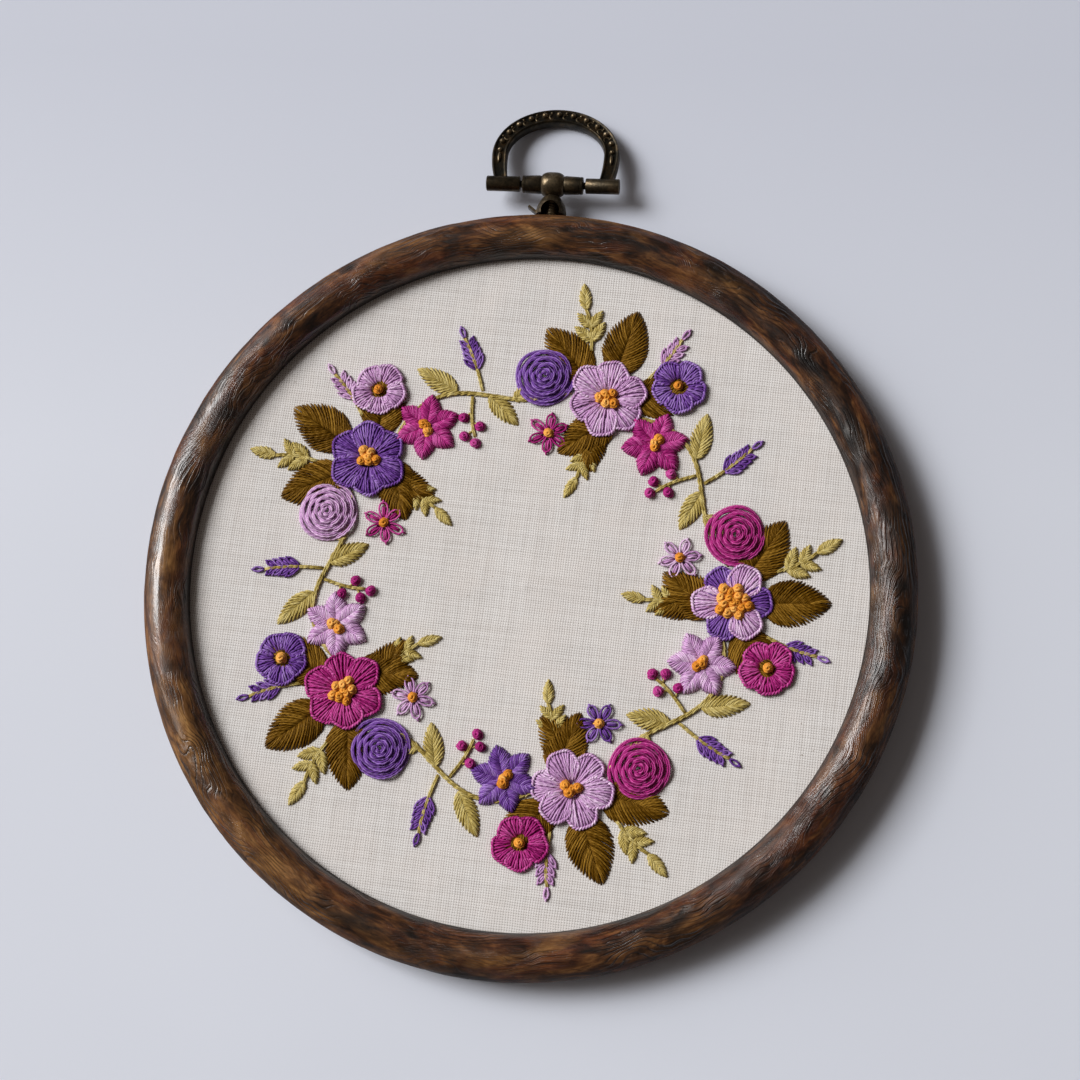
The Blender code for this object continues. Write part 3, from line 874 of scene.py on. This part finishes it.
def leaf(colour, spot, length, half_width, density, tone, height=0.34, serrate=0.06):
    """A fishbone leaf along +Y: slanted stitches from each edge cross at the midrib."""
    count = max(6, int(length * density))
    for index in range(count):
        share = index / (count - 1)
        for side in (-1, 1):
            tip_share = 0.1 + 0.9 * share ** 0.92
            width = half_width * math.sin(math.pi * min(tip_share, 0.995) ** 0.82) ** 0.7
            reach = 1 + serrate * ((index + (side > 0)) % 2 * 2 - 1) + jitter(0.03)
            tip = np.array([side * width * reach, length * tip_share])
            foot = np.array([-side * 0.26, length * (0.68 * share ** 1.4) - 0.2])
            shade = tone + 0.08 * side * math.sin(4 * share) + jitter(0.23)
            tall = height + 0.12 * share + jitter(0.03)
            stitch(colour, spot, tip, foot, tall, 0.21, side * 0.06, shade, 0.1)


def pointed_flower(spot, colour, petals, reach, knots):
    """A star flower of pointed petals, each worked like a short leaf."""
    for index in range(petals):
        turn = 360 * index / petals + jitter(3)
        petal_spot = Spot(0, 0, turn, 0.1 * (index % 2), spot)
        foot_spot = Spot(0, 0.9, 0, 0.0, petal_spot)
        width = math.tan(math.pi / petals) * reach * 0.6
        leaf(colour, foot_spot, reach - 0.9, width, 3.0, 0.5 + jitter(0.1), 0.42, 0.03)
    knot_cluster(spot, knots)


def woven_rose(spot, colour, reach):
    """A woven wheel: thread wound outwards, rising and dipping seven times a turn as over and under
    spokes; the spokes themselves are not laid.
    """
    pitch = 0.62
    turns = reach / pitch
    angle = np.linspace(0, 2 * math.pi * turns, int(turns * 30))
    for strand in (-1, 1):
        away = 0.35 + pitch * angle / (2 * math.pi) + strand * 0.15
        over = np.cos(3.5 * angle + 0.4)
        path_away = away + 0.1 * over * np.clip(away / 2, 0, 1)
        path = np.stack([path_away * np.cos(angle), path_away * np.sin(angle)], 1)
        dome = 0.25 + 0.95 * np.clip(1 - (away / reach) ** 2, 0, 1)
        heights = dome + 0.3 * over * np.clip(away / 1.6, 0.2, 1)
        heights[-3:] = [0.2, 0.0, -0.3]
        THREADS.lay(colour, spot.frame(path, heights), 0.21 * MM, 0.5 + 0.14 * strand)


def chain_loop(colour, spot, base, tip, half_width, height=0.3):
    """One detached chain: a loop from base to tip, held by a short stitch at its end."""
    base, tip = np.array(base, float), np.array(tip, float)
    forward = tip - base
    unit = forward / (np.linalg.norm(forward) + 1e-9)
    theta = np.linspace(0, 2 * math.pi, 15)
    along = (1 - np.cos(theta)) / 2
    swing = np.sin(theta) * (0.55 + 0.45 * along)
    path = base + forward * along[:, None] + np.array([-unit[1], unit[0]]) * (half_width * swing)[:, None]
    heights = np.full(15, height)
    heights[[0, -1]] = -0.25
    shade = 0.5 + jitter(0.28)
    THREADS.lay(colour, spot.frame(path, heights), STRAND_R * MM, shade)
    stitch(colour, spot, tip - unit * 0.3, tip + unit * 0.5, height + 0.16, shade=shade, points=5)


def chain_flower(spot, colour, petals, reach):
    """A small blossom of filled detached chains round one knot."""
    for index in range(petals):
        turn = 2 * math.pi * index / petals + jitter(0.06)
        way = np.array([math.sin(turn), math.cos(turn)])
        chain_loop(colour, spot, way * 0.6, way * (reach + jitter(0.2)), reach * 0.27, 0.34)
        for side in (-0.16, 0.16):
            across = np.array([-way[1], way[0]]) * side
            far = way * (reach - 0.4) + across
            stitch(colour, spot, way * 0.9 + across, far, shade=0.5 + jitter(0.3))
    french_knot("orange", spot, 0, 0, 0.92, 0.5)


def stem(colour, spot, points, width, length, tone, radius):
    """Stem stitch along a line: slanted double stitches that each lie half beside the last."""
    line_points = resample(points, length / 2)
    for start, end in zip(line_points, line_points[2:]):
        forward = end - start
        across = np.array([-forward[1], forward[0]]) / (np.linalg.norm(forward) + 1e-9)
        shade = tone + jitter(0.28)
        for strand in (-0.5, 0.5):
            first = start + across * (-width / 2 + strand * radius * 1.5)
            last = end + across * (width / 2 + strand * radius * 1.5)
            stitch(colour, spot, first, last, 0.36 + jitter(0.04), radius, 0.02, shade + jitter(0.15))


def curve_points(first, bend, last):
    """A smooth line from first to last, drawn towards bend."""
    t = np.linspace(0, 1, 24)[:, None]
    first, bend, last = (np.array(point, float) for point in (first, bend, last))
    return (1 - t) ** 2 * first + 2 * t * (1 - t) * bend + t * t * last


def sprig(spot, colour, length, pairs):
    """A lavender sprig along +Y: a stem, then pairs of loops and one at the tip."""
    points = curve_points((0, 0), (0.8, length * 0.5), (0, length))
    stem("green", spot, points, 0.16, 2.0, 0.5, 0.17)
    for index in range(pairs):
        share = 0.4 + 0.55 * index / pairs
        foot = points[int(share * (len(points) - 1))]
        size = 2.3 - 0.9 * index / pairs
        for side in (-1, 1):
            tip = foot + np.array([side * size * 0.7, size])
            chain_loop(colour, spot, foot + np.array([side * 0.12, 0.1]), tip, 0.5)
            middle = (foot + tip) / 2
            stitch(colour, spot, foot + (middle - foot) * 0.4, tip - (tip - middle) * 0.3, 0.34, 0.2)
    chain_loop(colour, spot, (0, length - 0.2), (0, length + 1.7), 0.5)


def leafy_twig(spot, length, pairs, lean=1.0, size=4.2):
    """A light green twig along +Y with pairs of small leaves and one at its tip."""
    points = curve_points((0, 0), (lean, length * 0.5), (0, length))
    stem("green", spot, points, 0.2, 2.2, 0.52, 0.18)
    for index in range(pairs):
        share = 0.3 + 0.55 * index / pairs
        foot = points[int(share * (len(points) - 1))]
        scale = size * (1 - 0.25 * index / pairs)
        for side in (-1, 1):
            leaf_spot = Spot(foot[0], foot[1], -side * (44 + jitter(8)), 0.0, spot)
            leaf("green", leaf_spot, scale, scale * 0.26, 2.4, 0.55, 0.3)
    leaf("green", Spot(0, length - 0.2, jitter(8), 0.0, spot), size * 1.15, size * 0.27, 2.4, 0.58, 0.3)


def berry_twig(spot, colour, length, count):
    """A thin stem along +Y with knotted berries on short stalks."""
    points = curve_points((0, 0), (0.8, length * 0.6), (0, length))
    stem("green", spot, points, 0.16, 2.0, 0.5, 0.17)
    for index in range(count):
        foot = points[int((0.35 + 0.65 * index / max(count - 1, 1)) * (len(points) - 1))]
        side = -1 if index % 2 else 1
        berry = foot + np.array([side * 1.5 * (index < count - 1), 1.0])
        stitch("green", spot, foot, berry, 0.24, 0.18)
        french_knot(colour, spot, berry[0], berry[1], 0.95, 0.4)


# The wreath's flower groups: degrees clockwise from the top, the colours of the large
# flower, the star and the rose, and the number of knots in the large flower
GROUPS = [
    (20, ("lilac",), "magenta", "violet", 6),
    (92, ("violet", "lilac"), "lilac", "magenta", 16),
    (163, ("lilac",), "violet", "magenta", 4),
    (236, ("magenta",), "lilac", "violet", 9),
    (306, ("violet",), "magenta", "lilac", 6),
]
WREATH_R = 36.0


def on_wreath(degrees, away=0.0, turn=0.0, lift=0.0):
    """A spot on the wreath's circle, its +Y pointing outwards; away shifts it outwards."""
    angle = math.radians(degrees)
    radius = WREATH_R + away
    return Spot(radius * math.sin(angle), radius * math.cos(angle), turn - degrees, lift)


def sew_vine(start, end):
    """A wavy stem between two groups with leaves, a sprig and berries."""
    span = np.radians(np.linspace(start, end, 40))
    radius = WREATH_R + 2.2 * np.sin(np.linspace(0, 2 * math.pi, 40))
    points = np.stack([radius * np.sin(span), radius * np.cos(span)], 1)
    stem("green", Spot(0, 0), points, 0.34, 2.6, 0.5, 0.2)
    middle = (start + end) / 2
    leaf("green", on_wreath(middle - 6, 2.0, 40), 8.4, 1.9, 2.4, 0.55, 0.32, 0.1)
    leaf("green", on_wreath(middle + 3, -0.8, -148), 7.6, 1.8, 2.4, 0.5, 0.32, 0.1)
    leaf("green", on_wreath(middle + 10, -2.0, -60), 5.6, 1.5, 2.4, 0.6, 0.3, 0.1)
    berry_twig(on_wreath(middle - 2, 0.2, 168), "magenta", 8.0, 4)
    sprig(on_wreath(middle + 1, 0.3, 6), "violet", 11.0, 4)


def sew_group(degrees, main, star, rose, knots):
    """One group: dark leaves, twigs and sprigs behind, three flowers and two blossoms in front."""
    for index, (turn, away, length) in enumerate(((-54, 3.0, 12.5), (-4, 5.5, 12.5), (52, 2.5, 12.5))):
        spot = on_wreath(degrees + turn / 8, away, -turn, 0.12 * (index % 2))
        leaf("olive", spot, length, length * 0.33, 3.1, 0.5)
    for index, (turn, away, length) in enumerate(((158, -3.0, 11.0), (212, -2.5, 11.5))):
        spot = on_wreath(degrees + (turn - 185) / 7, away, -turn, 0.12 * (index % 2))
        leaf("olive", spot, length, length * 0.33, 3.1, 0.5)
    leafy_twig(on_wreath(degrees - 8, 8.0, 22), 8.5, 2)
    sprig(on_wreath(degrees + 7, 7.0, -10), "lilac" if star != "lilac" else "violet", 10.0, 3)
    leafy_twig(on_wreath(degrees + 3, -8.0, 176), 7.0, 2, 0.8, 3.6)
    round_flower(on_wreath(degrees, 0.8, 9, 0.4), main, 6, 6.9, knots)
    pointed_flower(on_wreath(degrees + 19, -1.8, 20, 0.3), star, 6, 6.1, 3)
    woven_rose(on_wreath(degrees - 18.5, 2.2, 0, 0.2), rose, 5.0)
    chain_flower(on_wreath(degrees - 15, -8.2, 0, 0.15), star, 6, 3.6)
    round_flower(on_wreath(degrees + 14, 9.0, 0, 0.3), (rose,), 5, 4.7, 1)


def sew_wreath():
    for group in GROUPS:
        sew_group(*group)
    angles = [group[0] for group in GROUPS]
    for first, second in zip(angles, angles[1:] + [angles[0] + 360]):
        sew_vine(first + 10, second - 10)


THREAD_COLOURS = {
    "lilac": ((140, 88, 142), (202, 154, 204), (246, 222, 246)),
    "violet": ((52, 24, 88), (112, 66, 154), (186, 152, 220)),
    "magenta": ((98, 12, 62), (168, 38, 120), (224, 112, 184)),
    "orange": ((172, 88, 20), (232, 152, 52), (254, 204, 122)),
    "olive": ((38, 21, 2), (90, 60, 8), (172, 130, 50)),
    "green": ((110, 88, 34), (176, 155, 84), (224, 208, 144)),
}


# Hanger


def band_edge(half_width, height, foot_x):
    """One edge of the bail's band, from the right foot over the top to the left foot."""
    share = np.linspace(0, 1, 10, endpoint=False)
    x = half_width - (half_width - foot_x) * (1 - share) ** 2
    leg = np.stack([x, LEG_FOOT_Y + (BAIL_SPRING_Y - LEG_FOOT_Y) * share], 1)
    arch = arc((0, BAIL_SPRING_Y), (half_width, height - BAIL_SPRING_Y), 0, 180, 90)
    return np.concatenate([leg, arch, leg[::-1] * [-1, 1]])


# The band's section: share from outer to inner edge, height over its middle, wear
BAND_SECTION = [
    (0.0, -0.7, 0.05),
    (0.0, 0.0, 0.05),
    (0.0, 0.7, 0.1),
    (0.04, 0.98, 0.1),
    (0.1, 1.1, 0.12),
    (0.17, 1.06, 0.05),
    (0.24, 0.84, 0.0),
    (0.5, 0.82, 0.0),
    (0.76, 0.84, 0.0),
    (0.83, 1.06, 0.05),
    (0.9, 1.1, 0.1),
    (0.96, 0.98, 0.08),
    (1.0, 0.7, 0.1),
    (1.0, 0.0, 0.05),
    (1.0, -0.7, 0.05),
    (0.96, -0.98, 0.1),
    (0.88, -1.1, 0.05),
    (0.5, -1.1, 0.05),
    (0.12, -1.1, 0.05),
    (0.04, -0.98, 0.1),
]
BAND_FLOOR_Z = 0.82


def bail_band():
    """Points, faces and wear of the rimmed band."""
    outer = band_edge(BAIL_HALF_WIDTH, BAIL_HEIGHT, LEG_X + LEG_WIDTH / 2)
    inner = band_edge(BAIL_HALF_WIDTH - BAIL_BAND, BAIL_HEIGHT - BAIL_BAND, LEG_X - LEG_WIDTH / 2)
    share, height, wear = (np.array(column) for column in zip(*BAND_SECTION))
    flat = outer[:, None, :] * (1 - share)[:, None] + inner[:, None, :] * share[:, None]
    tall = np.broadcast_to(height, flat.shape[:2])[..., None]
    verts = np.concatenate([flat, tall], 2).reshape(-1, 3)
    return verts, tube_faces(len(outer), len(share)), np.tile(wear, len(outer))


def on_arch(degrees, away=0.0):
    """A point on the middle of the band; degrees run from the right spring over the top."""
    angle = math.radians(degrees)
    mid_x = BAIL_HALF_WIDTH - BAIL_BAND / 2 + away
    mid_y = BAIL_HEIGHT - BAIL_BAND / 2 - BAIL_SPRING_Y + away
    return mid_x * math.cos(angle), BAIL_SPRING_Y + mid_y * math.sin(angle)


def make_bail(material):
    """The rimmed arch with beads and small scrolls in its channel, on two end barrels."""
    bail = Shape()
    bail.add(*bail_band())
    for degrees in np.linspace(17, 163, 11):
        x, y = on_arch(degrees, 0.2)
        bail.add(*blob((x, y, BAND_FLOOR_Z + 0.12), (0.52, 0.52, 0.56)), 1.0)
    for index, degrees in enumerate(np.linspace(24.3, 155.7, 10)):
        side = 1 if index % 2 else -1
        sweep = np.radians(degrees + side * np.linspace(-110, 120, 11) + 90)
        scroll = on_arch(degrees, -0.25) + 0.5 * np.stack([np.cos(sweep), np.sin(sweep)], 1)
        path = np.column_stack([scroll, np.full(len(scroll), BAND_FLOOR_Z + 0.06)])
        bail.add(*rod(path, 0.17), 0.55)
        x, y = on_arch(degrees, 0.62)
        bail.add(*blob((x, y, BAND_FLOOR_Z + 0.05), (0.24, 0.24, 0.26)), 0.7)
    for side in (-1, 1):
        x = side * (BAIL_HALF_WIDTH - BAIL_BAND / 2)
        bail.add(*blob((x, BAIL_SPRING_Y + 0.7, BAND_FLOOR_Z + 0.1), (0.42, 0.42, 0.46)), 0.9)
        bail.add(*blob((x, BAIL_SPRING_Y - 1.0, BAND_FLOOR_Z + 0.1), (0.34, 1.1, 0.45)), 0.8)
        barrel = [
            (BAIL_BARREL_END, 1.12),
            (BAIL_BARREL_END - 0.04, 1.28),
            (BAIL_BARREL_END - 0.16, BAIL_BARREL_R),
            (BAIL_BARREL_START + 0.14, BAIL_BARREL_R),
            (BAIL_BARREL_START, 1.28),
            (BAIL_BARREL_START, BORE_R),
            (BAIL_BORE_END, BORE_R),
        ]
        verts, faces = lathe(barrel, 40)
        bail.add(verts * np.array([side, 1, 1]), faces, 0.25)
    place = Matrix.Translation(BAR) @ Matrix.Rotation(-BAIL_DROOP, 4, "X")
    return bail.finish("bail_with_beads", material, place)


def make_post(material):
    """The ball between its two barrels, bored for the pin, and the threaded screw below it."""
    post = Shape()
    x = np.linspace(-2.39, 2.39, 33)
    swell = BALL_R * (1 - np.abs(x / BALL_REACH) ** 3) ** (1 / 3)
    fillet = POST_BARREL_R + 0.12 * np.clip(1 - (BALL_REACH - np.abs(x)) / 0.3, 0, 1)
    ball = np.stack([x, np.maximum(swell, fillet)], 1)
    half = [
        (POST_REACH, BORE_R),
        (POST_REACH, 1.46),
        (POST_REACH - 0.14, POST_BARREL_R),
        (POST_REACH - 0.55, POST_BARREL_R),
        (POST_REACH - 0.62, POST_BARREL_R - 0.08),
        (POST_REACH - 0.7, POST_BARREL_R),
    ]
    profile = np.concatenate([np.array(half) * [-1, 1], ball, np.array(half)[::-1]])
    verts, faces = lathe(profile, 44, True)
    wear = np.where(np.linalg.norm(verts[:, 1:], axis=1) > POST_BARREL_R + 0.15, 0.6, 0.18)
    post.add(verts, faces, wear)
    length = np.linspace(BALL_R * 0.55, SCREW_TIP, 130)
    verts, faces = lathe(np.stack([length, np.full_like(length, SCREW_R)], 1), 20)
    turn = np.arctan2(verts[:, 2], verts[:, 1])
    verts[:, 1:] *= (1 - 0.075 * (1 + np.cos(2 * math.pi * verts[:, 0] / 0.55 + turn)))[:, None]
    verts = np.stack([verts[:, 1], -verts[:, 0], verts[:, 2]], 1)
    post.add(verts, faces, 0.6)
    return post.finish("post_with_screw", material, Matrix.Translation(BAR))


# Camera, light and floor


def photo_point(x, y, z):
    """A frame point from millimetres right, up and out of the picture, about the hoop's centre."""
    return HOOP + Matrix.Rotation(HOOP_TURN, 3, "Z") @ (Vector((x, y, z)) * MM)


def aim(item, eye, target, upright):
    forward = (target - eye).normalized()
    right = forward.cross(upright).normalized()
    up = right.cross(forward)
    item.matrix_world = Matrix.Translation(eye) @ Matrix((right, up, -forward)).transposed().to_4x4()


def make_camera():
    data = bpy.data.cameras.new("camera")
    data.sensor_width = 36.0
    data.lens = CAMERA_LENS
    data.clip_start = 0.01
    camera = add_object("camera", data)
    upright = Matrix.Rotation(HOOP_TURN, 3, "Z") @ Vector((0, 1, 0))
    aim(camera, photo_point(*CAMERA_EYE), photo_point(*CAMERA_TARGET), upright)
    bpy.context.scene.camera = camera


def add_light(name, place, size, power, colour):
    """A square light of so many metres, its place as for photo_point."""
    data = bpy.data.lights.new(name, "AREA")
    data.size = size
    data.energy = power
    data.color = colour
    aim(add_object(name, data), photo_point(*place), photo_point(0, 0, 0), Vector((0, 0, 1)))


def make_stage():
    look = Finish("pale_floor", Roughness=0.7)
    place = look.place()
    mottled = look.ramp(look.noise(place, 6.0), (0.3, 217, 222, 234), (0.7, 222, 227, 239))
    # Painted shade: the floor's colour darkens towards the top, standing in for light falling off there
    painted_top_shade = look.spread(look.parts(place)[1], 0.01, 0.09)
    look.colour(look.mix(painted_top_shade, mottled, rgb(205, 210, 224)))
    bm = bmesh.new()
    bmesh.ops.create_grid(bm, x_segments=2, y_segments=2, size=1.2)
    mesh = bpy.data.meshes.new("floor")
    bm.to_mesh(mesh)
    bm.free()
    mesh.materials.append(look.material)
    floor = add_object("floor", mesh)
    add_light("window", place=(-4041, 1884, 4015), size=2.6, power=308.0, colour=(1.0, 1.0, 1.0))
    add_light("soft_wall", place=(-4600, 2145, 3300), size=6.0, power=206.0, colour=(1.0, 0.96, 0.92))
    world = bpy.data.worlds.new("surroundings")
    bpy.context.scene.world = world
    world.use_nodes = True
    background = world.node_tree.nodes["Background"]
    background.inputs["Color"].default_value = (1.0, 0.84, 0.74, 1)
    background.inputs["Strength"].default_value = 0.08


# Building


def dress(piece, body="hoop", node=None):
    """Say what a piece rides on and the solid that it replaces."""
    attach(piece, body)
    if node:
        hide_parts(node)
    return piece


def give(node, material):
    """Another material for a solid that stays."""
    slots = frame["nodes"][node].data.materials
    slots.clear()
    slots.append(material)


def build():
    make_camera()
    make_stage()
    brass = brass_finish("antique_brass", 0.0)
    dress(make_outer_ring(vinyl_finish()), node="outer_ring")
    cloth = dress(make_cloth(calico_finish()), node="cloth")
    dress(make_bail(brass), "bail", "bail")
    dress(make_post(brass), node="hanger_post")
    sew_wreath()
    for colour, tones in THREAD_COLOURS.items():
        piece = THREADS.mesh(colour, thread_finish(f"thread_{colour}", *tones))
        dress(piece)
    give("cup_washer", brass_finish("worn_brass", 0.4))
    give("hinge_pin", brass)
    give("inner_ring", plastic_finish())
    bpy.context.scene.view_settings.view_transform = "Standard"


build()
